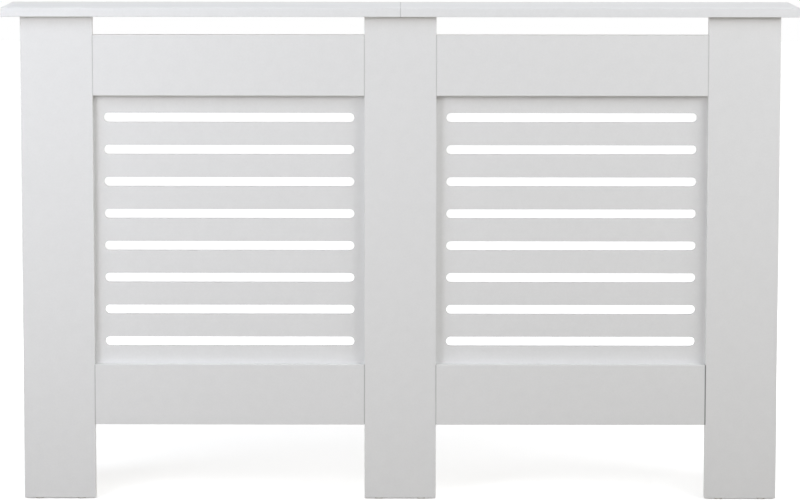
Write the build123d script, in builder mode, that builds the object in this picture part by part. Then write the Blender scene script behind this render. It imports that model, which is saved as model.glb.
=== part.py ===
"""Radiator cover cabinet: painted boards, slotted grilles and knock-down fittings.

Millimetres. +X runs along the front to the right, +Y towards the wall and +Z up. The origin is
on the floor, in the middle of the width and of the depth.
"""

import os
from collections import defaultdict
from math import isclose, radians, tan

from build123d import *

# --- Driving dimensions -------------------------------------------------------------------------

# The front, from the top down
shelf_thickness = 15.0
vent_gap = 30.0            # between the shelf and the top rails
top_rail_height = 100.0
grille_opening = 445.0     # between the two rails of a bay
bottom_rail_height = 100.0
floor_gap = 125.0          # between the bottom rails and the floor

# Widths and depth
bay_width = 445.0
post_width = 118.0
shelf_depth = 190.0
shelf_side_overhang = 30.0
shelf_front_overhang = 15.0

# Boards
board_thickness = 15.0     # posts, rails, side panels and cleat
grille_thickness = 9.0
arris_radius = 0.8         # eased edges of every board
shelf_corner_radius = 3.0  # outer front corners of the shelf, seen from above

# Grille slots
slot_count = 8
slot_height = 15.0
slot_pitch = 53.0
slot_end_margin = 17.0     # from a slot's end to the post beside it
grille_arris_radius = 0.6  # eased edges of the panel and of its slots
grille_lap = 20.0          # how far the panel reaches behind the posts and rails

# Skirting cut-out at the lower back corner of each side panel
skirting_height = 120.0
skirting_depth = 22.0

# Cleat under the joint of the two shelf halves
cleat_width = 76.0

# Dowels
dowel_radius = 4.0
dowel_length = 30.0
dowel_face_depth = 10.0    # how deep a dowel sits in the face of a board
dowel_fluting = 0.35       # depth of its glue grooves
dowel_groove_count = 8
dowel_chamfer = 1.2

# Cam locks and their bolts
cam_radius = 7.4
cam_height = 11.6
cam_reach = 34.0           # from the joint to the middle of the cam
cam_wall = 1.5
cam_slot_angle = 200.0
cam_recess_span = 7.4
cam_recess_width = 1.8
cam_recess_depth = 2.6
bolt_thread_radius = 2.5
bolt_thread_length = 11.0
bolt_collar_radius = 3.6
bolt_collar_length = 2.0
bolt_shank_radius = 2.8
bolt_neck_radius = 1.8
bolt_head_radius = 2.9
bolt_channel_radius = 4.0

# Countersunk screws: thread radius, length, head radius and span of the driver recess
grille_screw_radius = 1.75
grille_screw_length = 19.0
grille_screw_head_radius = 3.5
grille_screw_recess_span = 3.9
cleat_screw_radius = 2.0
cleat_screw_length = 24.0
cleat_screw_head_radius = 4.0
cleat_screw_recess_span = 4.4
countersink_angle = 90.0

# Pan-head screws
bracket_screw_radius = 1.75
bracket_screw_length = 12.0
bracket_screw_head_radius = 3.4
bracket_screw_recess_span = 3.7
pan_head_height = 2.2
pan_head_rim = 0.8         # height of the straight rim of the head
pan_head_crown_radius = 2.1

# Threads and driver recesses of all screws
thread_depth = 0.45
thread_pitch = 1.6
recess_width = 0.9
recess_depth = 1.3

# Wall brackets
bracket_leg = 30.0
bracket_width = 36.0
bracket_thickness = 2.0
bracket_bend_radius = 1.5
bracket_corner_radius = 4.0
bracket_hole_radius = 2.5
bracket_hole_spacing = 20.0
bracket_hole_from_corner = 18.0
bracket_drop = 60.0        # from the top of a side panel to the middle of its bracket

# Foot glides
glide_height = 2.0
glide_radius = 7.0
glide_arris_radius = 0.5
glide_nail_radius = 1.1
glide_nail_length = 12.0

# Where the fasteners sit
rail_dowel_offset = 32.0   # above and below the middle of a rail
side_cam_inset = 110.0     # from the ends of a side panel to its outer cams
post_dowel_inset = 15.0    # from the edges of a post to the dowels in its top
shelf_dowel_offset = 50.0  # before and behind the middle of a side panel's top edge
seam_dowel_inset = 35.0    # from the front and back of the shelf to its outer seam dowels
cleat_dowel_offset = 20.0  # each side of the cleat's middle
cleat_screw_offset = 22.0  # each side of the joint of the shelf
cleat_screw_front = 40.0   # from the front of the cleat to its first screws
cleat_screw_back = 20.0    # from its last screws to the bracket
glide_offset = 35.0        # each side of the middle of a post or of a side panel's foot
grille_screw_end_margin = 60.0
grille_screws_per_side = 4
grille_screws_per_rail = 3

# Clearances
dowel_clearance = 0.08
thread_clearance = 0.05
bolt_end_clearance = 0.4
cam_clearance = 0.1
cam_sink = 0.1             # how far a cam lies below the face of its board
neck_clearance = 0.4
screw_hole_clearance = 0.25
screw_seat_clearance = 0.05
nail_clearance = 0.05

# --- Sizes that follow ---------------------------------------------------------------------------

bottom_rail_bottom = floor_gap
bottom_rail_top = bottom_rail_bottom + bottom_rail_height
top_rail_bottom = bottom_rail_top + grille_opening
top_rail_top = top_rail_bottom + top_rail_height
shelf_bottom = top_rail_top + vent_gap
shelf_top = shelf_bottom + shelf_thickness
board_bottom = glide_height

body_width = 3 * post_width + 2 * bay_width
shelf_width = body_width + 2 * shelf_side_overhang
bay_centre = (post_width + bay_width) / 2
end_post_centre = post_width + bay_width

shelf_front = -shelf_depth / 2
wall = shelf_depth / 2
frame_front = shelf_front + shelf_front_overhang
frame_back = frame_front + board_thickness
frame_middle = frame_front + board_thickness / 2
grille_back = frame_back + grille_thickness
side_middle_y = (frame_back + wall) / 2
side_middle_x = (body_width - board_thickness) / 2
side_inner_x = body_width / 2 - board_thickness
cleat_bottom = shelf_bottom - board_thickness
cleat_middle_z = shelf_bottom - board_thickness / 2
shelf_middle_z = (shelf_bottom + shelf_top) / 2

post_centres = {"left": -end_post_centre, "centre": 0.0, "right": end_post_centre}
bay_centres = {"left": -bay_centre, "right": bay_centre}
ends = {"left": -1, "right": 1}
rail_spans = {
    "top_rail": (top_rail_bottom, top_rail_top),
    "bottom_rail": (bottom_rail_bottom, bottom_rail_top),
}

# Looking at the front, with X to the right and Z up; extruding comes forward
frame_plane = Plane.XZ.offset(-frame_back)
grille_plane = Plane.XZ.offset(-grille_back)

# Every joint adds its holes to the pieces it joins, and a place to its kit of fasteners
holes = defaultdict(list)
kits = defaultdict(list)


def along(start, direction, distance):
    """The point that lies a distance from start, along a unit direction."""
    return Vector(*start) + Vector(*direction) * distance


def dowel_joint(kit, at, into, first, second, depth=dowel_length / 2):
    """A dowel across a joint, with its depth in the first piece; into points to the second."""
    place = Plane(origin=at, z_dir=into).location
    radius = dowel_radius + dowel_clearance
    holes[first].append((place, radius, depth))
    holes[second].append((place, radius, dowel_length - depth))
    middle = along(at, into, dowel_length / 2 - depth)
    kits[kit].append(Plane(origin=middle, z_dir=into).location)


def cam_joint(kit, at, into, face, first, second):
    """A bolt in the first piece, held by a cam bored into the face of the second."""
    bolt_place = Plane(origin=at, z_dir=into).location
    cam_axis_start = along(at, into, cam_reach)
    cam_place = Plane(
        origin=along(cam_axis_start, face, board_thickness / 2),
        x_dir=Vector(*into) * -1,
        z_dir=face,
    ).location
    bolt_depth = bolt_thread_length + bolt_end_clearance
    holes[first].append((bolt_place, bolt_thread_radius + thread_clearance, bolt_depth))
    holes[second].append((bolt_place, bolt_channel_radius, cam_reach))
    holes[second].append((cam_place, cam_radius + cam_clearance, cam_height + 2 * cam_sink))
    kits[kit + "_cam_bolts"].append(bolt_place)
    kits[kit + "_cam_locks"].append(cam_place)


def bore(piece_name):
    """Bores every hole that the joints have given to this piece."""
    sizes = {(radius, depth) for place, radius, depth in holes[piece_name]}
    for size in sorted(sizes):
        places = [place for place, *hole_size in holes[piece_name] if tuple(hole_size) == size]
        with Locations(*places):
            Hole(*size)


def finish(piece, name):
    """Labels a finished piece and writes its file."""
    piece.part.label = name
    export_step(piece.part, f"parts/{name}.step")


# --- Joints --------------------------------------------------------------------------------------

# Rails to posts: two dowels and a cam at each end, the cam bored from the back
for bay, bay_x in bay_centres.items():
    for rail, (low, high) in rail_spans.items():
        rail_z = (low + high) / 2
        for end in (-1, 1):
            joint_x = bay_x + end * bay_width / 2
            post = "post_centre" if bay_x * end < 0 else f"post_{bay}"
            into_rail = (-end, 0, 0)
            for z in (rail_z - rail_dowel_offset, rail_z + rail_dowel_offset):
                at = (joint_x, frame_middle, z)
                dowel_joint("rail_dowels", at, into_rail, post, f"{rail}_{bay}")
            at = (joint_x, frame_middle, rail_z)
            cam_joint("rail", at, into_rail, (0, 1, 0), post, f"{rail}_{bay}")

# Side panels to the end posts, cams bored from inside the cabinet
side_height = shelf_bottom - board_bottom
side_cam_spacing = side_height / 2 - side_cam_inset
side_middle_z = (board_bottom + shelf_bottom) / 2
for side, end in ends.items():
    for step in (-1, 0, 1):
        at = (end * side_middle_x, frame_back, side_middle_z + step * side_cam_spacing)
        cam_joint("side", at, (0, 1, 0), (-end, 0, 0), f"post_{side}", f"side_panel_{side}")
    for step in (-0.5, 0.5):
        at = (end * side_middle_x, frame_back, side_middle_z + step * side_cam_spacing)
        pieces = (f"post_{side}", f"side_panel_{side}")
        dowel_joint("side_dowels", at, (0, 1, 0), *pieces, depth=dowel_face_depth)

# Shelf to the side panels and to the tops of the posts
for side, end in ends.items():
    at = (end * side_middle_x, side_middle_y, shelf_bottom)
    cam_joint("shelf", at, (0, 0, -1), (-end, 0, 0), f"shelf_{side}", f"side_panel_{side}")
    for step in (-1, 1):
        at = (end * side_middle_x, side_middle_y + step * shelf_dowel_offset, shelf_bottom)
        pieces = (f"shelf_{side}", f"side_panel_{side}")
        dowel_joint("shelf_dowels", at, (0, 0, -1), *pieces, depth=dowel_face_depth)
for post, post_x in post_centres.items():
    for step in (-1, 1):
        x = post_x + step * (post_width / 2 - post_dowel_inset)
        shelf = "shelf_left" if x < 0 else "shelf_right"
        at = (x, frame_middle, shelf_bottom)
        pieces = (shelf, f"post_{post}")
        dowel_joint("shelf_dowels", at, (0, 0, -1), *pieces, depth=dowel_face_depth)

# The two halves of the shelf, end to end
for y in (shelf_front + seam_dowel_inset, 0, wall - seam_dowel_inset):
    at = (0, y, shelf_middle_z)
    dowel_joint("shelf_joint_dowels", at, (1, 0, 0), "shelf_left", "shelf_right")

# Cleat to the centre post, its cam bored from below
cam_joint("cleat", (0, frame_back, cleat_middle_z), (0, 1, 0), (0, 0, -1), "post_centre", "shelf_cleat")
for step in (-1, 1):
    at = (step * cleat_dowel_offset, frame_back, cleat_middle_z)
    pieces = ("post_centre", "shelf_cleat")
    dowel_joint("cleat_dowels", at, (0, 1, 0), *pieces, depth=dowel_face_depth)

# --- Screw places, each on the outside of what its head holds, with Z out of it -------------------

for bay, bay_x in bay_centres.items():
    screw_reach_x = bay_width / 2 + grille_lap / 2
    screw_reach_z = grille_opening / 2 + grille_lap / 2
    opening_middle = (bottom_rail_top + top_rail_bottom) / 2
    step_z = (grille_opening - 2 * grille_screw_end_margin) / (grille_screws_per_side - 1)
    step_x = (bay_width - 2 * grille_screw_end_margin) / (grille_screws_per_rail - 1)
    grille_holes = []
    for end in (-1, 1):
        post = "post_centre" if bay_x * end < 0 else f"post_{bay}"
        rail = f"top_rail_{bay}" if end > 0 else f"bottom_rail_{bay}"
        for i in range(grille_screws_per_side):
            z = bottom_rail_top + grille_screw_end_margin + i * step_z
            grille_holes.append((bay_x + end * screw_reach_x, z, post))
        for i in range(grille_screws_per_rail):
            x = bay_x - bay_width / 2 + grille_screw_end_margin + i * step_x
            grille_holes.append((x, opening_middle + end * screw_reach_z, rail))
    for x, z, piece in grille_holes:
        place = Plane(origin=(x, grille_back, z), z_dir=(0, 1, 0)).location
        kits["grille_screws"].append(place)
        kits[f"grille_{bay}_screws"].append(place)
        depth = grille_screw_length + bolt_end_clearance
        holes[piece].append((place, grille_screw_radius + thread_clearance, depth))

cleat_screw_places = []
for x in (-cleat_screw_offset, cleat_screw_offset):
    for y in (frame_back + cleat_screw_front, wall - bracket_leg - cleat_screw_back):
        place = Plane(origin=(x, y, cleat_bottom), z_dir=(0, 0, -1)).location
        cleat_screw_places.append(place)
        shelf = "shelf_left" if x < 0 else "shelf_right"
        depth = cleat_screw_length + bolt_end_clearance
        holes[shelf].append((place, cleat_screw_radius + thread_clearance, depth))

# A bracket's corner lies on the wall and on the board that carries it. Seen from the corner, X
# points along the wall leg, away from the board, and Z along the bend
bracket_middle_z = shelf_bottom - bracket_drop
bracket_places = {
    "left": Plane(origin=(-side_inner_x, wall, bracket_middle_z), x_dir=(1, 0, 0), z_dir=(0, 0, -1)),
    "centre": Plane(origin=(0, wall, cleat_bottom), x_dir=(0, 0, -1), z_dir=(-1, 0, 0)),
    "right": Plane(origin=(side_inner_x, wall, bracket_middle_z), x_dir=(-1, 0, 0), z_dir=(0, 0, 1)),
}
bracket_boards = {"left": "side_panel_left", "centre": "shelf_cleat", "right": "side_panel_right"}
for name, corner in bracket_places.items():
    for step in (-0.5, 0.5):
        local = Vector(bracket_thickness, bracket_hole_from_corner, step * bracket_hole_spacing)
        origin = corner.from_local_coords(local)
        place = Plane(origin=origin, z_dir=corner.x_dir).location
        kits["bracket_screws"].append(place)
        depth = bracket_screw_length + bolt_end_clearance
        board = bracket_boards[name]
        holes[board].append((place, bracket_screw_radius + thread_clearance, depth))

# Foot glides under the posts and the side panels
glide_places = []
for post, post_x in post_centres.items():
    for step in (-1, 1):
        place = Location((post_x + step * glide_offset, frame_middle, 0))
        glide_places.append((place, f"post_{post}"))
foot_middle_y = (frame_back + wall - skirting_depth) / 2
for side, end in ends.items():
    for step in (-1, 1):
        place = Location((end * side_middle_x, foot_middle_y + step * glide_offset, 0))
        glide_places.append((place, f"side_panel_{side}"))
for place, piece in glide_places:
    depth = glide_height + glide_nail_length + bolt_end_clearance
    holes[piece].append((place, glide_nail_radius + nail_clearance, depth))

# --- Boards --------------------------------------------------------------------------------------

os.makedirs("parts", exist_ok=True)

# Posts: full height, from the glides to the shelf
for name, centre in post_centres.items():
    with BuildPart() as post:
        with BuildSketch(frame_plane):
            with Locations((centre, (board_bottom + shelf_bottom) / 2)):
                Rectangle(post_width, shelf_bottom - board_bottom)
        extrude(amount=board_thickness)
        fillet(post.edges(), arris_radius)
        bore(f"post_{name}")
    finish(post, f"post_{name}")

# Rails: between the posts, flush with their faces
for rail_name, (low, high) in rail_spans.items():
    for bay, centre in bay_centres.items():
        with BuildPart() as rail:
            with BuildSketch(frame_plane):
                with Locations((centre, (low + high) / 2)):
                    Rectangle(bay_width, high - low)
            extrude(amount=board_thickness)
            fillet(rail.edges(), arris_radius)
            bore(f"{rail_name}_{bay}")
        finish(rail, f"{rail_name}_{bay}")

# Grilles: slotted panels behind the frame, screwed from the back
slot_length = bay_width - 2 * slot_end_margin
for bay, centre in bay_centres.items():
    with BuildPart() as grille:
        with BuildSketch(grille_plane):
            with Locations((centre, (bottom_rail_top + top_rail_bottom) / 2)):
                Rectangle(bay_width + 2 * grille_lap, grille_opening + 2 * grille_lap)
        extrude(amount=grille_thickness)
        fillet(grille.edges(), grille_arris_radius)
        with BuildSketch(grille_plane):
            with Locations((centre, (bottom_rail_top + top_rail_bottom) / 2)):
                with GridLocations(0, slot_pitch, 1, slot_count):
                    SlotOverall(slot_length, slot_height)
        extrude(amount=grille_thickness, mode=Mode.SUBTRACT)
        slot_edges = grille.edges(Select.LAST).filter_by(Axis.Y, reverse=True)
        fillet(slot_edges, grille_arris_radius)
        with Locations(*kits[f"grille_{bay}_screws"]):
            CounterSinkHole(
                grille_screw_radius + screw_hole_clearance,
                grille_screw_head_radius + screw_seat_clearance,
                counter_sink_angle=countersink_angle,
            )
    finish(grille, f"grille_{bay}")

# Side panels: from the end posts back to the wall, cut out round the skirting board
for side, end in ends.items():
    outline = [
        (frame_back, board_bottom),
        (wall - skirting_depth, board_bottom),
        (wall - skirting_depth, skirting_height),
        (wall, skirting_height),
        (wall, shelf_bottom),
        (frame_back, shelf_bottom),
    ]
    with BuildPart() as side_panel:
        with BuildSketch(Plane.YZ.offset(end * side_middle_x)):
            with BuildLine():
                Polyline(*outline, close=True)
            make_face()
        extrude(amount=board_thickness / 2, both=True)
        fillet(side_panel.edges().filter_by(Axis.X, reverse=True), arris_radius)
        bore(f"side_panel_{side}")
    finish(side_panel, f"side_panel_{side}")

# Shelf: two halves that meet over the centre post
for side, end in ends.items():
    with BuildPart() as shelf:
        with BuildSketch(Plane.XY.offset(shelf_bottom)):
            with Locations((end * shelf_width / 4, 0)):
                Rectangle(shelf_width / 2, shelf_depth)
        extrude(amount=shelf_thickness)
        outer_front = shelf.edges().filter_by(Axis.Z).sort_by(Axis.Y)[:2].sort_by(Axis.X)
        fillet(outer_front[-1 if end > 0 else 0], shelf_corner_radius)
        rims = shelf.faces().filter_by(Axis.Z).edges()
        fillet(rims, arris_radius)
        bore(f"shelf_{side}")
    finish(shelf, f"shelf_{side}")

# Cleat under the joint of the shelf, back to the wall
with BuildPart() as cleat:
    with BuildSketch(Plane.XY.offset(cleat_bottom)):
        with Locations((0, (frame_back + wall) / 2)):
            Rectangle(cleat_width, wall - frame_back)
    extrude(amount=board_thickness)
    fillet(cleat.edges(), arris_radius)
    bore("shelf_cleat")
    with Locations(*cleat_screw_places):
        CounterSinkHole(
            cleat_screw_radius + screw_hole_clearance,
            cleat_screw_head_radius + screw_seat_clearance,
            counter_sink_angle=countersink_angle,
        )
finish(cleat, "shelf_cleat")

# --- Brackets ------------------------------------------------------------------------------------

for name, corner in bracket_places.items():
    with BuildPart() as bracket:
        with BuildSketch(corner) as angle:
            with BuildLine():
                Polyline(
                    (0, 0),
                    (bracket_leg, 0),
                    (bracket_leg, bracket_thickness),
                    (bracket_thickness, bracket_thickness),
                    (bracket_thickness, bracket_leg),
                    (0, bracket_leg),
                    close=True,
                )
            make_face()
            inner_corner = angle.vertices().sort_by_distance((0, 0))[1]
            fillet(inner_corner, bracket_bend_radius)
            outer_corner = angle.vertices().sort_by_distance((0, 0))[0]
            fillet(outer_corner, bracket_bend_radius + bracket_thickness)
        extrude(amount=bracket_width / 2, both=True)
        leg_ends = bracket.edges().filter_by(lambda edge: isclose(edge.length, bracket_thickness))
        fillet(leg_ends, bracket_corner_radius)
        for step in (-0.5, 0.5):
            z = step * bracket_hole_spacing
            wall_hole = corner.from_local_coords(Vector(bracket_hole_from_corner, 0, z))
            with Locations(Plane(origin=wall_hole, z_dir=corner.y_dir).location):
                Hole(bracket_hole_radius)
            board_hole = corner.from_local_coords(Vector(0, bracket_hole_from_corner, z))
            with Locations(Plane(origin=board_hole, z_dir=corner.x_dir).location):
                Hole(bracket_screw_radius + screw_hole_clearance)
    finish(bracket, f"wall_bracket_{name}")

# --- Fasteners, each drawn once about Z and then set in its places -------------------------------


def thread(radius, start, end):
    """Points of a thread's outline, root and crest in turn, from one height to another."""
    direction = 1 if end > start else -1
    turns = int(abs(end - start) / thread_pitch)
    points = []
    for i in range(turns):
        root_z = start + direction * i * thread_pitch
        points.append((radius - thread_depth, root_z))
        points.append((radius, root_z + direction * thread_pitch / 2))
    points.append((radius - thread_depth, start + direction * turns * thread_pitch))
    return points


def turned(points):
    """A solid turned about Z from its outline, which starts and ends on the axis."""
    with BuildPart() as blank:
        with BuildSketch(Plane.XZ):
            with BuildLine():
                Polyline(*points, close=True)
            make_face()
        revolve(axis=Axis.Z)
    return blank.part


def cross_recess(length, width, depth, top):
    """Cuts a cross-shaped driver recess into the part being built."""
    with BuildSketch(Plane.XY.offset(top)) as cross:
        Rectangle(length, width)
        Rectangle(width, length)
    extrude(cross.sketch, amount=-depth, mode=Mode.SUBTRACT)


def flat_head(radius, core):
    """Outline of a countersunk head, flush with the seat, from the axis to the screw's core."""
    cone_height = (radius - core) / tan(radians(countersink_angle / 2))
    return [(0, 0), (radius, 0), (core, -cone_height)]


def pan_head(radius, core):
    """Outline of a pan head on the seat, from the axis to the screw's core."""
    crown = [(0, pan_head_height), (pan_head_crown_radius, pan_head_height)]
    return [*crown, (radius, pan_head_rim), (radius, 0), (core, 0)]


def screw(radius, length, head_radius, recess_span, head=flat_head):
    """A cross-head screw whose seat is at the origin and whose point is down."""
    core = radius - thread_depth
    head_outline = head(head_radius, core)
    thread_start = head_outline[-1][1] - thread_pitch
    point_start = 2 * radius - length
    body = turned([*head_outline, *thread(radius, thread_start, point_start), (0, -length)])
    with BuildPart() as made:
        add(body)
        cross_recess(recess_span, recess_width, recess_depth, top=head_outline[0][1])
    return made.part


def fluted_dowel():
    """A beech dowel with chamfered ends and glue grooves, centred on the origin."""
    half = dowel_length / 2
    narrow = dowel_radius - dowel_chamfer
    body = turned(
        [
            (0, -half),
            (narrow, -half),
            (dowel_radius, dowel_chamfer - half),
            (dowel_radius, half - dowel_chamfer),
            (narrow, half),
            (0, half),
        ]
    )
    with BuildPart() as made:
        add(body)
        with PolarLocations(dowel_radius, dowel_groove_count):
            Cylinder(dowel_fluting, dowel_length, mode=Mode.SUBTRACT)
    return made.part


def cam_bolt():
    """A bolt whose thread goes down into one board and whose head is held by a cam in the other."""
    head_middle = cam_reach - bolt_head_radius - cam_clearance
    shank_end = cam_reach - cam_radius - neck_clearance
    thread_points = thread(bolt_thread_radius, -bolt_thread_length, 0)
    body = turned(
        [
            (0, -bolt_thread_length),
            *thread_points,
            (bolt_thread_radius - thread_depth, 0),
            (bolt_collar_radius, 0),
            (bolt_collar_radius, bolt_collar_length),
            (bolt_shank_radius, bolt_collar_length),
            (bolt_shank_radius, shank_end),
            (bolt_neck_radius, shank_end),
            (bolt_neck_radius, head_middle),
            (0, head_middle),
        ]
    )
    with BuildPart() as made:
        add(body)
        with Locations((0, 0, head_middle)):
            Sphere(bolt_head_radius)
    return made.part


def cam_lock():
    """A cam below the face of its board, its mouth towards +X, where the bolt's head comes in."""
    bolt_z = -board_thickness / 2
    mouth = Plane.XZ.rotated((0, 0, -cam_slot_angle / 2))
    pocket_radius = cam_radius - cam_wall
    with BuildPart() as made:
        with BuildSketch(Plane.XY.offset(-cam_sink - cam_height)):
            Circle(cam_radius)
        extrude(amount=cam_height)
        for reach, half_height in (
            (pocket_radius, bolt_head_radius + cam_clearance),
            (cam_radius + cam_clearance, bolt_neck_radius + neck_clearance),
        ):
            with BuildSketch(mouth):
                with Locations((reach / 2, bolt_z)):
                    Rectangle(reach, 2 * half_height)
            revolve(axis=Axis.Z, revolution_arc=cam_slot_angle, mode=Mode.SUBTRACT)
        cross_recess(cam_recess_span, cam_recess_width, cam_recess_depth, top=-cam_sink)
    return made.part


def foot_glide():
    """A plastic glide on the floor, with the nail that holds it to a board's end."""
    return turned(
        [
            (0, 0),
            (glide_radius - glide_arris_radius, 0),
            (glide_radius, glide_arris_radius),
            (glide_radius, glide_height),
            (glide_nail_radius, glide_height),
            (glide_nail_radius, glide_height + glide_nail_length - glide_nail_radius),
            (0, glide_height + glide_nail_length),
        ]
    )


def fill_kit(name, fastener, places):
    """Sets a fastener in each of its places, as separate solids of one node."""
    with BuildPart() as kit:
        with Locations(*places):
            add(fastener)
    finish(kit, name)


dowel = fluted_dowel()
for name in ("rail_dowels", "side_dowels", "shelf_dowels", "shelf_joint_dowels", "cleat_dowels"):
    fill_kit(name, dowel, kits[name])

bolt = cam_bolt()
lock = cam_lock()
for joint in ("rail", "side", "shelf", "cleat"):
    fill_kit(f"{joint}_cam_bolts", bolt, kits[f"{joint}_cam_bolts"])
    fill_kit(f"{joint}_cam_locks", lock, kits[f"{joint}_cam_locks"])

grille_screw = screw(
    grille_screw_radius, grille_screw_length, grille_screw_head_radius, grille_screw_recess_span
)
fill_kit("grille_screws", grille_screw, kits["grille_screws"])

cleat_screw = screw(
    cleat_screw_radius, cleat_screw_length, cleat_screw_head_radius, cleat_screw_recess_span
)
fill_kit("cleat_screws", cleat_screw, cleat_screw_places)

bracket_screw = screw(
    bracket_screw_radius,
    bracket_screw_length,
    bracket_screw_head_radius,
    bracket_screw_recess_span,
    head=pan_head,
)
fill_kit("bracket_screws", bracket_screw, kits["bracket_screws"])

fill_kit("foot_glides", foot_glide(), [place for place, piece in glide_places])

print("shelf", shelf_width, "x", shelf_depth, ", top at", shelf_top)
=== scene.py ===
# %% [markdown]
# # A painted radiator cover, dressed for the studio
#
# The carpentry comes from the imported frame: posts, rails, a jointed shelf, side panels and the
# fittings that pull them together. This lesson gives it its finish. Boards that already have
# their true shape keep their mesh and get a paint that has the texture of sprayed fibreboard.
# What repeats by a rule, which is the slots of the grilles and the screws, is made again with
# Geometry Nodes, so that one tree with named sizes draws all of it.

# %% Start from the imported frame
from math import cos, pi, radians, sin

import bmesh
import bpy
from mathutils import Matrix, Vector


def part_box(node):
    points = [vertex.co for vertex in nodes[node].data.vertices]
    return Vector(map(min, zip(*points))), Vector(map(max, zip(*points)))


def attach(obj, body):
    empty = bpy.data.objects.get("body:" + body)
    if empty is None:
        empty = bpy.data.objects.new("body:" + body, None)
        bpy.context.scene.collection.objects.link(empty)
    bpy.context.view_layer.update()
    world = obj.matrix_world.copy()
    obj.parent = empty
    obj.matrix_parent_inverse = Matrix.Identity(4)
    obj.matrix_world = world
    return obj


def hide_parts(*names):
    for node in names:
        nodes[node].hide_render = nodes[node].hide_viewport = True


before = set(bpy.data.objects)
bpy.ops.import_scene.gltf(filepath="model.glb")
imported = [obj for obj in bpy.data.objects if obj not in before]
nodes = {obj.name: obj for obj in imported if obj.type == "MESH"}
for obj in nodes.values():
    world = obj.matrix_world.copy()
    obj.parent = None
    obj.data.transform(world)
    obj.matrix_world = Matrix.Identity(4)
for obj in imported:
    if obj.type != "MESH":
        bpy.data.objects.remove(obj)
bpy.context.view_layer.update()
millimetre = 0.001
print("nodes in the frame:", len(nodes))


# %% [markdown]
# ## Camera
#
# The photograph was taken from nearly six metres away with a long lens, a little above the shelf
# and looking slightly down, so the front shows almost flat and the shelf shows a thin strip of
# its top. The place, tilt and lens were found by matching the corners of the boards. A small
# upward shift does what the photographer did to keep the posts upright.

# %% Camera
picture_width = 800
focal_pixels = 3508.9
principal_rise = 50
sensor_width = 36.0
camera_place = Vector((0.0046, -5.810, 1.1189))
camera_pitch = 0.1081
camera_yaw = -0.0009
camera_roll = 0.0009


def add_camera():
    """A long-lens camera in front of the cabinet."""
    lens_data = bpy.data.cameras.new("camera")
    lens_data.sensor_width = sensor_width
    lens_data.lens = focal_pixels / picture_width * sensor_width
    lens_data.shift_y = -principal_rise / picture_width
    camera = bpy.data.objects.new("camera", lens_data)
    bpy.context.scene.collection.objects.link(camera)
    turn = Matrix.Rotation(-camera_yaw, 4, "Z")
    tilt = Matrix.Rotation(pi / 2 - camera_pitch, 4, "X")
    roll = Matrix.Rotation(camera_roll, 4, "Z")
    camera.matrix_world = Matrix.Translation(camera_place) @ turn @ tilt @ roll
    bpy.context.scene.camera = camera
    return camera


camera = add_camera()
print("lens:", round(camera.data.lens, 1), "mm")


# %% [markdown]
# ## Writing node trees as sums
#
# A finish is a few numbers that vary over a surface, so it reads best as arithmetic. `Signal`
# wraps one output of a node, and its operators add Math nodes. `NodeBook` adds every other kind
# of node from its type, its settings and the values of its sockets, in shader trees and in
# Geometry Nodes trees alike.

# %% Outputs that can be added and multiplied
class Signal:
    """An output of a node. Sums and products of signals become Math nodes."""

    def __init__(self, book, socket):
        self.book = book
        self.socket = socket

    def maths(self, operation, *values):
        settings = {"operation": operation}
        return self.book.node("ShaderNodeMath", settings, dict(enumerate(values)))[0]

    def __add__(self, other):
        return self.maths("ADD", self, other)

    __radd__ = __add__

    def __sub__(self, other):
        return self.maths("SUBTRACT", self, other)

    def __rsub__(self, other):
        return self.maths("SUBTRACT", other, self)

    def __mul__(self, other):
        return self.maths("MULTIPLY", self, other)

    __rmul__ = __mul__

    def __truediv__(self, other):
        return self.maths("DIVIDE", self, other)

    def __pow__(self, other):
        return self.maths("POWER", self, other)

    def larger(self, other):
        return self.maths("MAXIMUM", self, other)

    def smaller(self, other):
        return self.maths("MINIMUM", self, other)

    def absolute(self):
        return self.maths("ABSOLUTE", self)

    def rise(self, low, high):
        """0 below low, 1 above high, and smooth between them."""
        settings = {"interpolation_type": "SMOOTHSTEP"}
        inputs = {"Value": self, "From Min": low, "From Max": high}
        return self.book.node("ShaderNodeMapRange", settings, inputs)[0]


# %% A book that adds nodes to a tree
class Outputs:
    """The outputs of a node that was just added, by name or number."""

    def __init__(self, book, node):
        self.book = book
        self.node = node

    def __getitem__(self, name):
        return Signal(self.book, self.node.outputs[name])


class NodeBook:
    """Adds nodes to one tree."""

    def __init__(self, tree):
        self.tree = tree

    def feed(self, socket, value):
        """Links a signal, or several, to a socket, or sets its value."""
        if isinstance(value, (list, tuple)) and value and isinstance(value[0], Signal):
            for signal in value:
                self.tree.links.new(signal.socket, socket)
        elif isinstance(value, Signal):
            self.tree.links.new(value.socket, socket)
        else:
            socket.default_value = value

    def node(self, kind, settings=None, inputs=None):
        """A node of some kind: first its settings, then the values or links of its sockets."""
        node = self.tree.nodes.new(kind)
        for name, value in (settings or {}).items():
            setattr(node, name, value)
        for name, value in (inputs or {}).items():
            self.feed(node.inputs[name], value)
        return Outputs(self, node)


# %% [markdown]
# ## Studio
#
# The cut-out photograph has a white ground, so the floor and the world look white to the camera
# and to mirrors. To all other rays they are ordinary: the floor bounces light as pale paper
# does, and the world is a dim, even fill. The white of the floor is a glow of its own plus the
# light that falls on it. The glow is weaker round the cabinet, where the lamps reach the floor,
# so a soft shadow stays under the boards and at the feet.

# %% Floor and world
floor_size = 24.0
floor_glow_near = 0.40
floor_glow_far = 0.90
near_floor_ends = 0.6             # metres from the middle
far_floor_starts = 1.3
width_share = 0.5                 # the lit floor is twice as wide as it is deep
floor_bounce = (0.305, 0.277, 0.230, 1.0)
world_fill = 0.20
white = (1.0, 1.0, 1.0, 1.0)


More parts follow.
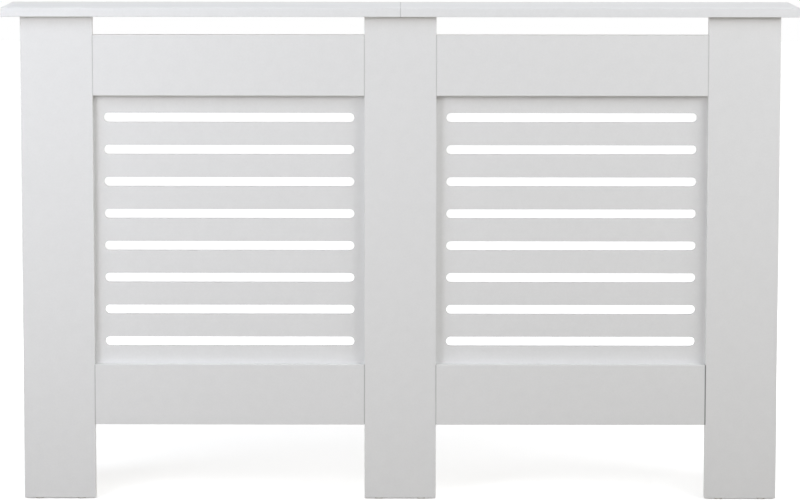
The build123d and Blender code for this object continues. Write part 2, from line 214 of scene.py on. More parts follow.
def background_rays(book):
    """1 for rays that show the background: from the camera, mirrors and glass."""
    rays = book.node("ShaderNodeLightPath")
    return rays["Is Camera Ray"].larger(rays["Is Glossy Ray"]).larger(rays["Is Transmission Ray"])


def add_floor():
    """A wide pale floor."""
    half = floor_size / 2
    corners = [(-half, -half, 0), (half, -half, 0), (half, half, 0), (-half, half, 0)]
    mesh = bpy.data.meshes.new("studio_floor")
    mesh.from_pydata(corners, [], [(0, 1, 2, 3)])
    floor = bpy.data.objects.new("studio_floor", mesh)
    bpy.context.scene.collection.objects.link(floor)
    paper = bpy.data.materials.new("studio_paper")
    paper.use_nodes = True
    paper.node_tree.nodes.clear()
    book = NodeBook(paper.node_tree)
    bounce = book.node("ShaderNodeBsdfDiffuse", inputs={"Color": floor_bounce})["BSDF"]
    shaded = book.node("ShaderNodeBsdfDiffuse", inputs={"Color": white})["BSDF"]
    place = book.node("ShaderNodeTexCoord")["Object"]
    along = book.node("ShaderNodeSeparateXYZ", inputs={"Vector": place})
    distance = ((along["X"] * width_share) ** 2 + along["Y"] ** 2) ** 0.5
    far = distance.rise(near_floor_ends, far_floor_starts)
    level = floor_glow_near + far * (floor_glow_far - floor_glow_near)
    glow = book.node("ShaderNodeEmission", inputs={"Color": level, "Strength": 1.0})["Emission"]
    seen = book.node("ShaderNodeAddShader", inputs={0: glow, 1: shaded})[0]
    inputs = {0: background_rays(book), 1: bounce, 2: seen}
    surface = book.node("ShaderNodeMixShader", inputs=inputs)[0]
    book.node("ShaderNodeOutputMaterial", inputs={"Surface": surface})
    mesh.materials.append(paper)


def light_world():
    """An even fill, white where it is seen."""
    world = bpy.data.worlds.new("studio_world")
    bpy.context.scene.world = world
    world.use_nodes = True
    world.node_tree.nodes.clear()
    book = NodeBook(world.node_tree)
    strength = world_fill + background_rays(book) * (1 - world_fill)
    inputs = {"Color": white, "Strength": strength}
    light = book.node("ShaderNodeBackground", inputs=inputs)["Background"]
    book.node("ShaderNodeOutputWorld", inputs={"Surface": light})


add_floor()
light_world()
print("floor:", floor_size, "m wide; fill of the world:", world_fill)


# %% [markdown]
# ## Lamps
#
# In the photograph the left post is the brightest and the light falls off towards the foot of
# the right post. The shadow under the shelf is a thin line that fades within a thumb's width, so
# most light comes from in front, a little above the shelf, and from the sides. The left lamps
# are a little cool and the light from the floor is warm, so the white goes from cool at the top
# left to warm at the feet. Two more lamps stand behind the cabinet, for views of its back.
#
# Seen from behind, satin paint mirrors the large lamps in front, and the top of a white shelf
# would glare until its outline is lost in the white ground. A photographer would turn the lamps
# until the glare is gone. Here mirror rays pass the lamps by and show the even, pale studio.

# %% Lamps
softboxes = {
    # name: place, aim, width and height, watts, colour
    "front_left": ((-1.20, -1.60, 0.97), (-0.20, 0.0, 0.50), (0.8, 0.8), 12.8, (0.945, 0.955, 1.000)),
    "front_right": ((1.30, -1.60, 1.45), (0.40, 0.0, 0.70), (0.8, 0.8), 8.2, (0.985, 0.985, 1.000)),
    "front_middle": ((0.00, -3.00, 1.40), (0.00, 0.0, 0.40), (1.5, 1.5), 10.7, (1.000, 0.988, 0.946)),
    "high_left": ((-1.70, -1.00, 1.80), (-0.50, 0.0, 0.70), (0.8, 0.8), 10.4, (0.870, 0.925, 1.000)),
    "wide_right": ((2.20, -1.30, 1.75), (0.20, 0.0, 0.50), (1.4, 1.4), 20.9, (0.970, 0.990, 1.000)),
    "overhead": ((0.00, 0.30, 2.60), (0.00, 0.0, 0.80), (1.4, 1.4), 11.9, (0.960, 0.965, 1.000)),
    "behind_left": ((-1.90, 1.40, 0.42), (0.10, 0.0, 0.42), (1.0, 0.7), 14.0, (1.0, 1.0, 1.0)),
    "behind_right": ((1.90, 1.40, 0.42), (-0.10, 0.0, 0.42), (1.0, 0.7), 22.0, (1.0, 1.0, 1.0)),
}


def add_softbox(name, place, aim, sides, watts, colour):
    """A rectangular lamp at a place, turned to a point, that mirror rays don't see."""
    lamp_data = bpy.data.lights.new(name, "AREA")
    lamp_data.shape = "RECTANGLE"
    lamp_data.size, lamp_data.size_y = sides
    lamp_data.energy = watts
    lamp_data.color = colour
    lamp = bpy.data.objects.new(name, lamp_data)
    bpy.context.scene.collection.objects.link(lamp)
    lamp.location = place
    lamp.visible_glossy = False
    lamp.rotation_euler = (Vector(aim) - Vector(place)).to_track_quat("-Z", "Y").to_euler()


for name, numbers in softboxes.items():
    add_softbox(name, *numbers)
bpy.context.scene.view_settings.view_transform = "Standard"
print("softboxes:", len(softboxes))

# %% [markdown]
# ## A finish as a sum of signals
#
# `Finish` starts a material with a Principled shader and offers what every recipe needs: noise
# at a real scale, how far the surface faces a direction, places along the axes, and colours
# mixed or shaded by a signal. Object coordinates are in metres, so a noise scale of 400 means
# features of about 2.5 mm.

# %% Helpers for finishes
hairline_core = 0.3               # of a hairline's width has its full shade


class Finish(NodeBook):
    """A new material with a Principled shader."""

    def __init__(self, name):
        self.material = bpy.data.materials.new(name)
        self.material.use_nodes = True
        super().__init__(self.material.node_tree)
        self.surface = self.tree.nodes["Principled BSDF"]
        self.coordinates = self.node("ShaderNodeTexCoord")
        self.place = self.coordinates["Object"]
        self.along = self.node("ShaderNodeSeparateXYZ", inputs={"Vector": self.place})

    def noise(self, features_per_metre, detail=2.0, roughness=0.5, stretch=None):
        """Smooth noise from 0 to 1. Stretch scales its coordinates along each axis."""
        place = self.place
        if stretch:
            inputs = {0: place, 1: stretch}
            place = self.node("ShaderNodeVectorMath", {"operation": "MULTIPLY"}, inputs)[0]
        inputs = {
            "Vector": place,
            "Scale": features_per_metre,
            "Detail": detail,
            "Roughness": roughness,
        }
        return self.node("ShaderNodeTexNoise", inputs=inputs)["Fac"]

    def facing(self, direction):
        """How much the surface faces a direction, from -1 to 1."""
        inputs = {0: self.coordinates["Normal"], 1: direction}
        return self.node("ShaderNodeVectorMath", {"operation": "DOT_PRODUCT"}, inputs)["Value"]

    def within(self, axis, low, high, blur=millimetre):
        """1 between two places on an axis, and 0 outside."""
        place = self.along[axis]
        return place.rise(low - blur, low + blur) * (1 - place.rise(high - blur, high + blur))

    def hairline(self, distance, width):
        """1 on a line and 0 beyond its width."""
        return 1 - distance.rise(width * hairline_core, width)

    def mix(self, amount, first, second):
        """A colour between two others, which are sockets 6 and 7 of a Mix node."""
        inputs = {0: amount, 6: self.colour(first), 7: self.colour(second)}
        return self.node("ShaderNodeMix", {"data_type": "RGBA"}, inputs)[2]

    def shade(self, colour, amount):
        """A colour times a number."""
        inputs = {0: colour, "Scale": amount}
        return self.node("ShaderNodeVectorMath", {"operation": "SCALE"}, inputs)[0]

    def colour(self, value):
        return value if isinstance(value, Signal) else (*value, 1.0)

    def bump(self, height, distance):
        """A normal from a relief, whose height counts in shares of a distance in metres."""
        inputs = {"Height": height, "Strength": 1.0, "Distance": distance}
        return self.node("ShaderNodeBump", inputs=inputs)["Normal"]

    def set(self, **sockets):
        """Sets or links sockets of the Principled shader, such as base_color."""
        for name, value in sockets.items():
            self.feed(self.surface.inputs[name.replace("_", " ").title()], value)
        return self.material


# %% [markdown]
# ## Painted fibreboard
#
# The boards are fibreboard with a sprayed satin paint. Three things make it look like that and
# not like plastic. The film has a fine orange-peel texture and is never quite even. The sawn
# edges drink the paint, so they are rougher and show the fibre. The sides that nobody sees get a
# thinner coat, which lets a little of the board's tan through. All three follow from where a
# point lies and which way its surface faces, so one recipe serves every board, given the axis
# that its broad faces look along and the side that is turned away from the room.
#
# Where two boards meet there is a hairline that light doesn't reach. It is far thinner than a
# pixel, so it is painted: a narrow band of shade at the places where the frame says boards meet.

# %% Paint recipe
face_white = (0.802, 0.804, 0.810)
edge_white = (0.796, 0.796, 0.795)
# The shelf's paint is lighter than the frame's, and its sawn edge a little cooler: painted light, for
# the cool light that falls on the shelf from above.
lit_shelf_white = (0.830, 0.833, 0.840)
lit_shelf_edge_white = (0.834, 0.840, 0.852)
thin_white = (0.735, 0.722, 0.690)
fibre_tan = (0.600, 0.520, 0.410)
grille_white = (0.795, 0.797, 0.803)
paint_gloss = 0.35
paint_roughness = 0.42
paint_relief = 0.03 * millimetre
edge_to_face = (0.75, 0.97)       # how squarely a point looks along the axis: sawn, then broad
face_to_back = (0.80, 0.97)       # and towards the hidden side: shown, then hidden
cloud_scale = 70.0                # this and the next three in features per metre
peel_scale = 300.0
fibre_scale = 1500.0
strand_scale = 260.0
cloud_tint = 0.045                # this and the next three change how light the paint is
peel_tint = 0.050
fibre_tint = 0.03
# the next one is a painted highlight: it paints the eased arrises lighter than the faces
painted_arris_highlight = 0.08
tan_patches = (0.52, 0.72)        # levels of the strands between which the tan comes through
tan_strength = 0.35


def no_gaps(finish):
    """For a board that shows no joint."""
    return 0.0


def board_paint(
    name, broad_axis, hidden_side, gaps=no_gaps, face=face_white, edge=edge_white
):
    """Satin white paint for a board whose broad faces look along an axis."""
    finish = Finish(name)
    broad = finish.facing(broad_axis).absolute().rise(*edge_to_face)
    sawn = 1 - broad
    hidden = finish.facing(hidden_side).rise(*face_to_back)
    arris = broad * sawn * 4      # 1 halfway between a broad face and a sawn edge
    cloud = finish.noise(cloud_scale, detail=3.0)
    peel = finish.noise(peel_scale, detail=2.0)
    fibre = finish.noise(fibre_scale, detail=3.0, roughness=0.65)
    strands = finish.noise(strand_scale, detail=4.0, roughness=0.7)
    shown = finish.mix(broad, edge, face)
    thin = finish.mix(strands.rise(*tan_patches) * tan_strength, thin_white, fibre_tan)
    coat = finish.mix(hidden, shown, thin)
    unevenness = (cloud - 0.5) * cloud_tint + (peel - 0.5) * peel_tint - sawn * fibre * fibre_tint
    # The eased arrises are painted lighter, a painted highlight, and the joints get painted shade.
    light = (1 + unevenness + arris * painted_arris_highlight) * (1 - gaps(finish))
    # The fibre stands up where the paint is thin, on the sawn edges and the hidden side.
    height = peel * 0.55 + fibre * (0.10 + sawn * 0.9 + hidden * 0.6)
    # Those places are duller too, and the arris is a little shinier, because hands rub it.
    dull = (peel - 0.5) * 0.10 + sawn * 0.14 + hidden * 0.16 - arris * 0.05
    finish.feed(finish.surface.inputs["Specular IOR Level"], paint_gloss)
    return finish.set(
        base_color=finish.shade(coat, light),
        roughness=paint_roughness + dull,
        normal=finish.bump(height, paint_relief),
    )


# %% Gaps between the boards
hairline_width = 1.2 * millimetre
open_gap_width = 1.4 * millimetre
shade_of_top_joints = 0.18        # 0 leaves the paint as it is and 1 makes it black
shade_of_bottom_joints = 0.29
shade_of_open_joint = 0.75
shade_under_shelf = 0.35
shade_of_shelf_joint = 0.27
light_on_shelf_joint = 0.15
under_shelf_depth = 2 * millimetre
rail_end_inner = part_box("post_centre")[1].x
rail_end_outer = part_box("post_right")[0].x
top_rail_heights = [corner.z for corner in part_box("top_rail_left")]
bottom_rail_heights = [corner.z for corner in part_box("bottom_rail_left")]
post_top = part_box("post_centre")[1].z


def frame_gaps(finish):
    """Painted shade in the joints of the front frame, the deepest at the foot of the right post, and
    a painted shadow at the top of the posts, under the shelf.
    """
    across = finish.along["X"].absolute()
    to_inner = (across - rail_end_inner).absolute()
    to_outer = (across - rail_end_outer).absolute()
    line = finish.hairline(to_inner.smaller(to_outer), hairline_width)
    beside_top = finish.within("Z", *top_rail_heights)
    beside_bottom = finish.within("Z", *bottom_rail_heights)
    open_gap = finish.hairline((finish.along["X"] - rail_end_outer).absolute(), open_gap_width)
    under_shelf = finish.along["Z"].rise(post_top - under_shelf_depth, post_top)
    tight = line * (beside_top * shade_of_top_joints + beside_bottom * shade_of_bottom_joints)
    loose = open_gap * beside_bottom * shade_of_open_joint
    return tight.larger(loose).larger(under_shelf * shade_under_shelf)


def shelf_gaps(finish):
    """Shade in the joint of the two halves of the shelf, weaker on top, where light falls in."""
    top = finish.facing((0, 0, 1)).rise(0.5, 0.9)
    line = finish.hairline(finish.along["X"].absolute(), hairline_width)
    return line * (shade_of_shelf_joint - top * light_on_shelf_joint)


front_paint = board_paint("paint_on_posts_and_rails", (0, 1, 0), (0, 1, 0), frame_gaps)
# The shelf gets the lighter paint, which is painted light.
shelf_paint = board_paint(
    "paint_on_shelf", (0, 0, 1), (0, 0, -1), shelf_gaps, lit_shelf_white, lit_shelf_edge_white
)
cleat_paint = board_paint("paint_on_cleat", (0, 0, 1), (0, 0, -1))
grille_paint = board_paint("paint_on_grilles", (0, 1, 0), (0, 1, 0), face=grille_white)
side_paints = {
    "left": board_paint("paint_on_left_side", (1, 0, 0), (1, 0, 0)),
    "right": board_paint("paint_on_right_side", (1, 0, 0), (-1, 0, 0)),
}
paints = [front_paint, shelf_paint, cleat_paint, grille_paint, *side_paints.values()]
print("paints:", len(paints))


# %% Paint the boards
def dress(finishes):
    """Gives each finish to the pieces whose names start or end with its word."""
    dressed = 0
    for name, piece in nodes.items():
        for word, material in finishes.items():
            if name.startswith(word) or name.endswith(word):
                piece.data.materials.clear()
                piece.data.materials.append(material)
                dressed += 1
    print("pieces dressed:", dressed)


dress({
    "post_": front_paint,
    "top_rail_": front_paint,
    "bottom_rail_": front_paint,
    "shelf_left": shelf_paint,
    "shelf_right": shelf_paint,
    "shelf_cleat": cleat_paint,
    "side_panel_left": side_paints["left"],
    "side_panel_right": side_paints["right"],
})

# %% [markdown]
# ## Metal, wood and plastic
#
# The fittings hide behind the boards, but they show from the back. Zinc-plated steel is a cool
# grey with a faint cloudy bloom, die-cast cams are darker and grainy, beech dowels have fine
# lengthwise grain with short dark flecks, and the glides are plain moulded plastic.

# %% Fitting finishes
screw_grey = (0.48, 0.49, 0.50)
bracket_grey = (0.44, 0.46, 0.48)
bloom_darkens = 0.86
alloy_dark = (0.32, 0.32, 0.33)
alloy_light = (0.40, 0.40, 0.40)
beech_dark = (0.64, 0.46, 0.29)
beech_light = (0.76, 0.60, 0.42)
beech_fleck = (0.42, 0.26, 0.15)
glide_white = (0.80, 0.79, 0.76)
glide_scuff = (0.45, 0.43, 0.40)


def zinc_plated_steel(name, tone, roughness):
    """Plated steel with a cloudy bloom and fine drawing marks."""
    finish = Finish(name)
    bloom = finish.noise(140.0, detail=3.0)
    marks = finish.noise(900.0, detail=2.0, stretch=(1.0, 1.0, 0.15))
    colour = finish.mix(bloom.rise(0.35, 0.70), tone, [part * bloom_darkens for part in tone])
    return finish.set(
        base_color=finish.shade(colour, 0.95 + marks * 0.08),
        metallic=1.0,
        roughness=roughness + bloom * 0.12 + marks * 0.06,
        normal=finish.bump(marks, 0.01 * millimetre),
    )


def die_cast_alloy():
    """Dull grey alloy with the grain of a casting."""
    finish = Finish("die_cast_alloy")
    grain = finish.noise(2200.0, detail=3.0)
    bloom = finish.noise(200.0, detail=2.0)
    colour = finish.mix(bloom, alloy_dark, alloy_light)
    return finish.set(
        base_color=finish.shade(colour, 0.92 + grain * 0.12),
        metallic=1.0,
        roughness=0.42 + grain * 0.16,
        normal=finish.bump(grain, 0.03 * millimetre),
    )


def beech():
    """Pale beech with lengthwise grain and short flecks."""
    finish = Finish("beech")
    grain = finish.noise(600.0, detail=4.0, roughness=0.6, stretch=(1.0, 0.3, 0.3))
    flecks = finish.noise(1200.0, detail=1.0, stretch=(1.0, 0.5, 0.5)).rise(0.62, 0.70)
    colour = finish.mix(grain, beech_dark, beech_light)
    return finish.set(
        base_color=finish.mix(flecks * 0.5, colour, beech_fleck),
        roughness=0.55 + grain * 0.15,
        normal=finish.bump(grain, 0.04 * millimetre),
    )


def glide_plastic():
    """Off-white moulded plastic, a little scuffed underneath."""
    finish = Finish("glide_plastic")
    mould = finish.noise(1600.0, detail=2.0)
    under = finish.facing((0, 0, -1)).rise(0.7, 0.95)
    scuffs = finish.noise(700.0, detail=3.0, stretch=(1.0, 0.2, 1.0)).rise(0.55, 0.68) * under
    return finish.set(
        base_color=finish.mix(scuffs * 0.5, glide_white, glide_scuff),
        roughness=0.42 + mould * 0.10 + scuffs * 0.2,
        normal=finish.bump(mould, 0.02 * millimetre),
    )


screw_steel = zinc_plated_steel("screw_steel", screw_grey, roughness=0.28)
dress({
    "wall_bracket_": zinc_plated_steel("bracket_steel", bracket_grey, roughness=0.34),
    "_dowels": beech(),
    "_cam_bolts": screw_steel,
    "_cam_locks": die_cast_alloy(),
    "foot_glides": glide_plastic(),
})

# %% [markdown]
# ## Geometry Nodes: trees with named sizes
#
# A shape that follows a rule is drawn by a tree whose inputs carry the names of its sizes.
# `ShapeTree` starts such a tree, and `grow` runs it on an object and keeps the result as a plain
# mesh, because the finished model holds meshes only.

# %% Helpers for shapes
socket_kinds = {
    float: "NodeSocketFloat",
    int: "NodeSocketInt",
    bpy.types.Material: "NodeSocketMaterial",
    bpy.types.Object: "NodeSocketObject",
}


class ShapeTree(NodeBook):
    """A Geometry Nodes tree with named inputs."""

    def __init__(self, name, sizes):
        super().__init__(bpy.data.node_groups.new(name, "GeometryNodeTree"))
        sockets = self.tree.interface
        sockets.new_socket("Geometry", in_out="OUTPUT", socket_type="NodeSocketGeometry")
        sockets.new_socket("Geometry", in_out="INPUT", socket_type="NodeSocketGeometry")
        for title, kind in sizes.items():
            sockets.new_socket(title, in_out="INPUT", socket_type=socket_kinds[kind])
        self.given = self.node("NodeGroupInput")

    def finish(self, shape, material):
        """Ends the tree: real geometry, with its material."""
        real = self.node("GeometryNodeRealizeInstances", inputs={"Geometry": shape})[0]
        inputs = {"Geometry": real, "Material": material}
        painted = self.node("GeometryNodeSetMaterial", inputs=inputs)[0]
        self.node("NodeGroupOutput", inputs={"Geometry": painted})
        return self.tree


def mesh_object(name, points=(), faces=()):
    """A new object in the scene, from points and faces."""
    mesh = bpy.data.meshes.new(name)
    mesh.from_pydata(list(points), [], list(faces))
    made = bpy.data.objects.new(name, mesh)
    bpy.context.scene.collection.objects.link(made)
    return made


def settle(piece):
    """Replaces a piece's modifiers by the mesh they make."""
    view = bpy.context.evaluated_depsgraph_get()
    mesh = bpy.data.meshes.new_from_object(piece.evaluated_get(view), depsgraph=view)
    mesh.name = piece.name
    piece.modifiers.clear()
    piece.data = mesh
    return piece


arris_segments = 3
bevelled_from = radians(40)       # edges that turn by more than this get an arris
sharp_from = radians(30)          # and these stay crisp in the smooth shading


def grow(piece, tree, sizes, arris=0.0):
    """Runs a tree on a piece, rounds its sharp edges, and keeps the mesh."""
    modifier = piece.modifiers.new("shape", "NODES")
    modifier.node_group = tree
    inputs = [item for item in tree.interface.items_tree if item.in_out == "INPUT"]
    identifiers = {item.name: item.identifier for item in inputs}
    for title, value in sizes.items():
        modifier[identifiers[title]] = value
    if arris:
        bevel = piece.modifiers.new("arris", "BEVEL")
        bevel.width = arris
        bevel.segments = arris_segments
        bevel.limit_method = "ANGLE"
        bevel.angle_limit = bevelled_from
    settle(piece)
    piece.data.shade_smooth()
    piece.data.set_sharp_from_angle(angle=sharp_from)
    return piece


# %% [markdown]
# ## Where the fasteners sit
#
# Each kit of fasteners in the frame is one mesh of many solids. Taking a merged copy apart gives
# the box of each solid, and with it the place of every screw, cam and glide, so nothing has to
# be measured twice.

# %% Take a kit apart
merge_distance = 0.005 * millimetre
same_place_digits = 5             # boxes are sorted by places rounded to 0.01 mm


def solids_of(node_name):
    """The lowest and highest corner of each separate solid of a node."""
    copy = bmesh.new()
    copy.from_mesh(nodes[node_name].data)
    bmesh.ops.remove_doubles(copy, verts=copy.verts, dist=merge_distance)
    left = set(copy.verts)
    boxes = []
    while left:
        found = [left.pop()]
        for vert in found:        # found grows until the solid is complete
            for edge in vert.link_edges:
                other = edge.other_vert(vert)
                if other in left:
                    left.remove(other)
                    found.append(other)
        low = Vector([min(vert.co[axis] for vert in found) for axis in range(3)])
        high = Vector([max(vert.co[axis] for vert in found) for axis in range(3)])
        boxes.append((low, high))
    copy.free()
    return sorted(boxes, key=lambda box: [round(number, same_place_digits) for number in box[0]])


def face_centre(box, facing):
    """The middle of the side of a box that looks in a direction."""
    low, high = box
    middle = (low + high) / 2
    half = (high - low) / 2
    return middle + Vector([step * size for step, size in zip(facing, half)])


screws_behind = {side: [] for side in ("left", "right")}
for box in solids_of("grille_screws"):
    place = face_centre(box, (0, 1, 0))
    screws_behind["left" if place.x < 0 else "right"].append(place)
print("screws behind each grille:", {side: len(found) for side, found in screws_behind.items()})

# %% [markdown]
# ## Grilles
#
# Each grille is a thin panel with a ladder of long slots with round ends. Cutting slots one by
# one with Booleans would work, but it leaves ragged meshes. Here the panel is drawn flat as
# nested outlines, the rim, the slots and the screw holes, and filled in one go, so the holes are
# part of the drawing. Then it is given its thickness and stood upright. A bevel eases every edge,
# as the router does. The two broad faces are shaded flat, because smooth shading would carry the
# slant of the eased edges across the slats and make them look hollow.

# %% Tree of a slotted panel
points_per_corner = 10
hole_sides = 24
nearly_two = 2.001                # the two roundings of a slot's end stay a hair apart


def slotted_panel_tree():
    """A panel drawn about its middle. The points that it runs on are its screw holes."""
    sizes = {
        "Width": float,
        "Height": float,
        "Thickness": float,
        "Slot Length": float,
        "Slot Height": float,
        "Slot Pitch": float,
        "Slot Count": int,
        "Hole Radius": float,
        "Paint": bpy.types.Material,
    }
    book = ShapeTree("slotted_panel", sizes)
    given = book.given
    sheet_size = {"Width": given["Width"], "Height": given["Height"]}
    rim = book.node("GeometryNodeCurvePrimitiveQuadrilateral", inputs=sheet_size)["Curve"]
    slot_size = {"Width": given["Slot Length"], "Height": given["Slot Height"]}
    slot_box = book.node("GeometryNodeCurvePrimitiveQuadrilateral", inputs=slot_size)["Curve"]
    radius = given["Slot Height"] / nearly_two
    rounding = {"Curve": slot_box, "Count": points_per_corner, "Radius": radius}
    slot = book.node("GeometryNodeFilletCurve", {"mode": "POLY"}, rounding)["Curve"]
    first = (1 - given["Slot Count"]) * given["Slot Pitch"] / 2
    start = book.node("ShaderNodeCombineXYZ", inputs={"Y": first})[0]
    step = book.node("ShaderNodeCombineXYZ", inputs={"Y": given["Slot Pitch"]})[0]
    ladder_size = {"Count": given["Slot Count"], "Start Location": start, "Offset": step}
    ladder = book.node("GeometryNodeMeshLine", {"mode": "OFFSET"}, ladder_size)["Mesh"]
    slots = book.node("GeometryNodeInstanceOnPoints", inputs={"Points": ladder, "Instance": slot})[0]
    ring_size = {"Resolution": hole_sides, "Radius": given["Hole Radius"]}
    ring = book.node("GeometryNodeCurvePrimitiveCircle", {"mode": "RADIUS"}, ring_size)["Curve"]
    on_screws = {"Points": given["Geometry"], "Instance": ring}
    rings = book.node("GeometryNodeInstanceOnPoints", inputs=on_screws)[0]
    outlines = book.node("GeometryNodeJoinGeometry", inputs={"Geometry": [rim, slots, rings]})[0]
    drawing = book.node("GeometryNodeRealizeInstances", inputs={"Geometry": outlines})[0]
    flat = book.node("GeometryNodeFillCurve", {"mode": "NGONS"}, {"Curve": drawing})["Mesh"]
    pull = {"Mesh": flat, "Offset Scale": given["Thickness"], "Individual": False}
    walls = book.node("GeometryNodeExtrudeMesh", {"mode": "FACES"}, pull)["Mesh"]
    back = book.node("GeometryNodeFlipFaces", inputs={"Mesh": flat})[0]
    shell = book.node("GeometryNodeJoinGeometry", inputs={"Geometry": [walls, back]})[0]
    merge = {"Geometry": shell, "Distance": merge_distance}
    closed = book.node("GeometryNodeMergeByDistance", inputs=merge)[0]
    stand = {"Geometry": closed, "Rotation": (pi / 2, 0, 0)}
    upright = book.node("GeometryNodeTransform", inputs=stand)[0]
    return book.finish(upright, given["Paint"])


# %% Both grilles
slot_count = 8
slot_height = 15 * millimetre
slot_pitch = 53 * millimetre
slot_to_rim = 37 * millimetre     # from a slot's end to the side of the panel
grille_arris = 0.6 * millimetre
screw_hole_radius = 3.55 * millimetre
flat_enough = 0.999               # a normal this much along Y belongs to a broad face

panel_tree = slotted_panel_tree()


def add_grille(side):
    """One grille in place of its node, with a hole for every screw."""
    low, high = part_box(f"grille_{side}")
    middle = (low + high) / 2
    back_middle = Vector((middle.x, high.y, middle.z))
    places = [place - back_middle for place in screws_behind[side]]
    grille = mesh_object(f"slotted_grille_{side}", [(place.x, place.z, 0) for place in places])
    sizes = {
        "Width": high.x - low.x,
        "Height": high.z - low.z,
        "Thickness": high.y - low.y,
        "Slot Length": high.x - low.x - 2 * slot_to_rim,
        "Slot Height": slot_height,
        "Slot Pitch": slot_pitch,
        "Slot Count": slot_count,
        "Hole Radius": screw_hole_radius,
        "Paint": grille_paint,
    }
    grow(grille, panel_tree, sizes, grille_arris)
    for face in grille.data.polygons:
        if abs(face.normal.y) > flat_enough:
            face.use_smooth = False
    grille.data.transform(Matrix.Translation(back_middle))
    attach(grille, "root")
    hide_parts(f"grille_{side}")
    print(grille.name, "faces:", len(grille.data.polygons))


for side in ("left", "right"):
    add_grille(side)

# %% [markdown]
# ## Screws
#
# A screw is a turned shape with a helix for a thread. Half its outline is turned about Z, with
# the face of the head at the origin and the point down. Along the thread the rings are close
# together, and each point of a ring moves in by how far it is from the crest of the helix, so
# the mesh stays one closed tube. A Screw modifier could wind a thread as well, but the ends of
# its sweep stay open. A prism cut from the face makes the driver recess.

# %% Turn an outline and cut a recess
def turned(name, outline, thread, sides=24):
    """A closed shape turned about Z from its outline, which starts and ends on the axis.

    The thread gives, at a height and an angle, how far the surface lies inside the outline.
    """
    shape = bmesh.new()
    angles = [2 * pi * step / sides for step in range(sides)]
    rings = []
    for radius, height in outline[1:-1]:
        ring = []
        for angle in angles:
            reach = radius - thread(height, angle)
            ring.append(shape.verts.new((reach * cos(angle), reach * sin(angle), height)))
        rings.append(ring)
    for upper, lower in zip(rings, rings[1:]):
        for i in range(sides):
            shape.faces.new((upper[i - 1], lower[i - 1], lower[i], upper[i]))
    top = shape.verts.new((0, 0, outline[0][1]))
    end = shape.verts.new((0, 0, outline[-1][1]))
    for i in range(sides):
        shape.faces.new((top, rings[0][i - 1], rings[0][i]))
        shape.faces.new((end, rings[-1][i], rings[-1][i - 1]))
    made = mesh_object(name)
    shape.to_mesh(made.data)
    shape.free()
    return made


def cut(blank, outline, top, depth):
    """Cuts a prism with a flat outline out of a blank, from a height down."""
    count = len(outline)
    heights = (top + depth, top - depth)
    points = [(x, y, height) for height in heights for x, y in outline]
    faces = [tuple(range(count)), tuple(range(2 * count - 1, count - 1, -1))]
    faces += [(i, count + i, count + (i + 1) % count, (i + 1) % count) for i in range(count)]
    cutter = mesh_object("cutter", points, faces)
    boolean = blank.modifiers.new("recess", "BOOLEAN")
    boolean.operation = "DIFFERENCE"
    boolean.solver = "EXACT"
    boolean.object = cutter
    settle(blank)
    bpy.data.objects.remove(cutter)
    return blank


def cross(span, width):
    """Outline of an upright cross."""
    far, near = span / 2, width / 2
    arm = [(far, -near), (far, near), (near, near)]
    quarter_turns = [(1, 0), (0, 1), (-1, 0), (0, -1)]
    return [(c * x - s * y, s * x + c * y) for c, s in quarter_turns for x, y in arm]


# %% Heads of the screws
head_edge = 0.12 * millimetre
pan_head_height = 2.2 * millimetre
pan_head_rim = 0.8 * millimetre
pan_head_flat = 1.6 * millimetre
dome_steps = 5


def flat_head(radius, core):
    """Outline of a countersunk head, and the height that the screw's length counts from."""
    return [(0, 0), (radius - head_edge, 0), (radius, -head_edge), (core, core - radius)], 0


def pan_head(radius, core):
    """The same two for a domed head with an upright rim, whose length counts from under it."""
    drop = pan_head_height - pan_head_rim
    dome = [(pan_head_flat, 0)]
    for step in range(1, dome_steps + 1):
        angle = step / dome_steps * pi / 2
        x = pan_head_flat + (radius - pan_head_flat) * sin(angle)
        dome.append((x, drop * (cos(angle) - 1)))
    seat = -pan_head_height
    return [(0, 0), *dome, (radius, seat), (core, seat)], seat


# %% A whole screw
thread_depth = 0.45 * millimetre
thread_pitch = 1.6 * millimetre
rings_per_turn = 6
point_waist = 0.45                # of the core, halfway down the point
recess_width = 0.9 * millimetre
recess_depth = 1.3 * millimetre


def screw(name, radius, length, head, head_radius, recess_span):
    """A cross-head screw with its point down and the face of its head at the origin."""
    core = radius - thread_depth
    outline, seat = head(head_radius, core)
    start = outline[-1][1] - thread_pitch / 2
    end = seat - length
    point = end + 2 * radius
    ring_count = round((start - point) / thread_pitch * rings_per_turn)
    ring_step = (start - point) / ring_count
    outline.append((core, start))
    outline += [(radius, start - ring_step * step) for step in range(1, ring_count)]
    outline += [(core, point), (core * point_waist, (point + end) / 2), (0, end)]

    def thread(height, angle):
        if not point < height < start:
            return 0
        turn = (start - height) / thread_pitch - angle / (2 * pi)
        return thread_depth * abs(2 * (turn % 1) - 1)

    made = turned(name, outline, thread)
    return cut(made, cross(recess_span, recess_width), 0, recess_depth)


# %% [markdown]
# ## Setting the kits of screws
#
# The frame says where every screw sits, and what it fastens says which way its head looks. So
# one screw of each kind is made and then set on points, and each point carries its facing as an
# attribute. A turn about the screw's own axis, random but with a fixed seed, leaves every recess
# at its own angle, as a driver does.

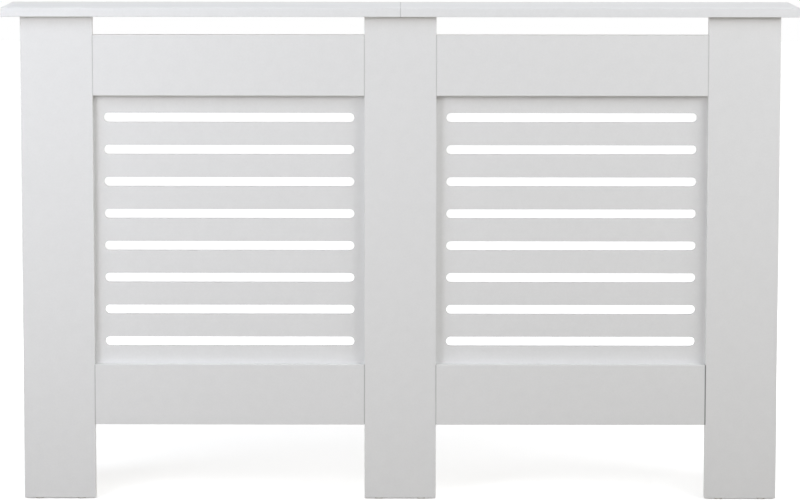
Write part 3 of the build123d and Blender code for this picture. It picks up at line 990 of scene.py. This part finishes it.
# %% Tree that sets a fastener in its places
def kit_tree():
    """Sets a fastener on each point, with its Z along the point's facing."""
    sizes = {"Fastener": bpy.types.Object, "Finish": bpy.types.Material, "Spin": float, "Seed": int}
    book = ShapeTree("kit_of_fasteners", sizes)
    given = book.given
    vector = {"data_type": "FLOAT_VECTOR"}
    facing = book.node("GeometryNodeInputNamedAttribute", vector, {"Name": "facing"})["Attribute"]
    aimed = book.node("FunctionNodeAlignRotationToVector", {"axis": "Z"}, {"Vector": facing})[0]
    # Sockets 2 and 3 are the least and the most that the random number may be.
    chance = {2: 0.0, 3: given["Spin"], "Seed": given["Seed"]}
    angle = book.node("FunctionNodeRandomValue", {"data_type": "FLOAT"}, chance)[1]
    about_face = {"Axis": (0, 0, 1), "Angle": angle}
    spin = book.node("FunctionNodeAxisAngleToRotation", inputs=about_face)[0]
    driven = {"Rotation": aimed, "Rotate By": spin}
    rotation = book.node("FunctionNodeRotateRotation", {"rotation_space": "LOCAL"}, driven)[0]
    info = book.node("GeometryNodeObjectInfo", inputs={"Object": given["Fastener"]})["Geometry"]
    inputs = {"Points": given["Geometry"], "Instance": info, "Rotation": rotation}
    kit = book.node("GeometryNodeInstanceOnPoints", inputs=inputs)[0]
    return book.finish(kit, given["Finish"])


# %% Set the kits
fastener_tree = kit_tree()


def facing_of_bracket_screw(box):
    """Upright screws go up into the board above them, and level ones out into a side panel."""
    size = box[1] - box[0]
    if size.z > size.x:
        return (0, 0, -1)
    return (1, 0, 0) if box[0].x < 0 else (-1, 0, 0)


def add_kit(node_name, master, facing_of, seed):
    """One mesh of screws in place of a kit of the frame."""
    boxes = solids_of(node_name)
    facings = [facing_of(box) for box in boxes]
    places = [face_centre(box, facing) for box, facing in zip(boxes, facings)]
    kit = mesh_object(f"turned_{node_name}", places)
    facing = kit.data.attributes.new("facing", "FLOAT_VECTOR", "POINT")
    for entry, direction in zip(facing.data, facings):
        entry.vector = direction
    sizes = {"Fastener": master, "Finish": screw_steel, "Spin": 2 * pi, "Seed": seed}
    grow(kit, fastener_tree, sizes)
    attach(kit, "root")
    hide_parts(node_name)
    bpy.data.objects.remove(master)
    print(kit.name, "screws:", len(places), "faces:", len(kit.data.polygons))


kits = {
    # node: facing, seed, head, then radius, length, head radius and recess span in millimetres
    "grille_screws": (lambda box: (0, 1, 0), 3, flat_head, (1.75, 19.0, 3.5, 3.9)),
    "cleat_screws": (lambda box: (0, 0, -1), 5, flat_head, (2.0, 24.0, 4.0, 4.4)),
    "bracket_screws": (facing_of_bracket_screw, 7, pan_head, (1.75, 12.0, 3.4, 3.7)),
}
for node_name, (facing_of, seed, head, sizes) in kits.items():
    radius, length, head_radius, span = [size * millimetre for size in sizes]
    master = screw("one_of_" + node_name, radius, length, head, head_radius, span)
    add_kit(node_name, master, facing_of, seed)

# %% [markdown]
# ## The finished scene
#
# The scene is brought up to date, so that every dressed piece is in place.

# %% Bring the scene up to date
bpy.context.view_layer.update()
